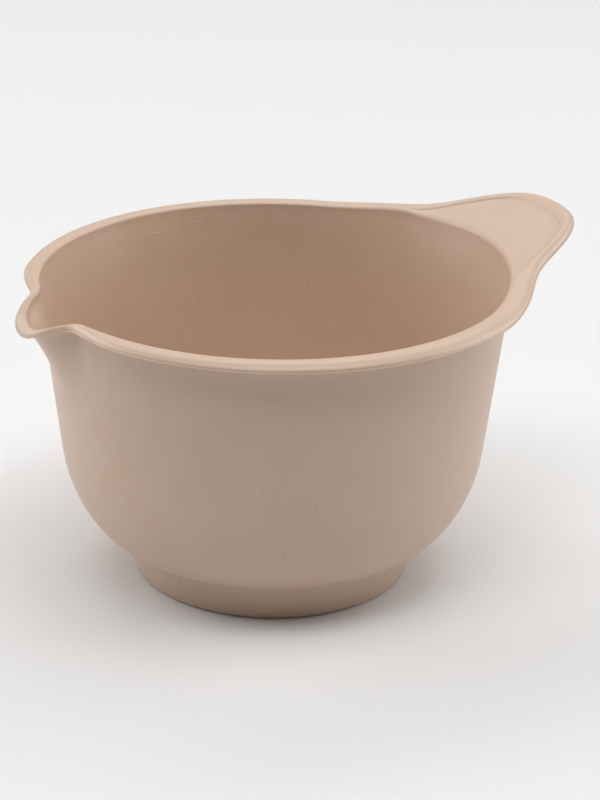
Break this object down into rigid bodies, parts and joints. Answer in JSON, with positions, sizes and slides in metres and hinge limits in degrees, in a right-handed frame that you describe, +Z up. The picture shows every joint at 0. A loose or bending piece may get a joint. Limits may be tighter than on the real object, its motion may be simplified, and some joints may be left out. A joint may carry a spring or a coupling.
{
  "type": "mixing bowl",
  "caption": "Deep moulded mixing bowl with a rounded rim bead, an ear-shaped side handle, a pouring spout opposite it and a conical foot with a rubber ring",
  "frame": {"origin": "on the bowl's axis at the level of the floor it stands on, which is the underside of the non-slip ring", "axes": "+Z up along the bowl's axis; +X from the axis to the handle, and the spout is on -X; XZ is the plane of symmetry"},
  "size_m": [0.2501, 0.216, 0.1483],
  "materials": {
    "shell": "satin, beige, with sparse dark and light fibre specks",
    "ring": "matt soft rubber"
  },
  "bodies": {
    "root": {"bowl_shell": "shell", "non_slip_ring": "ring"}
  },
  "joints": []
}
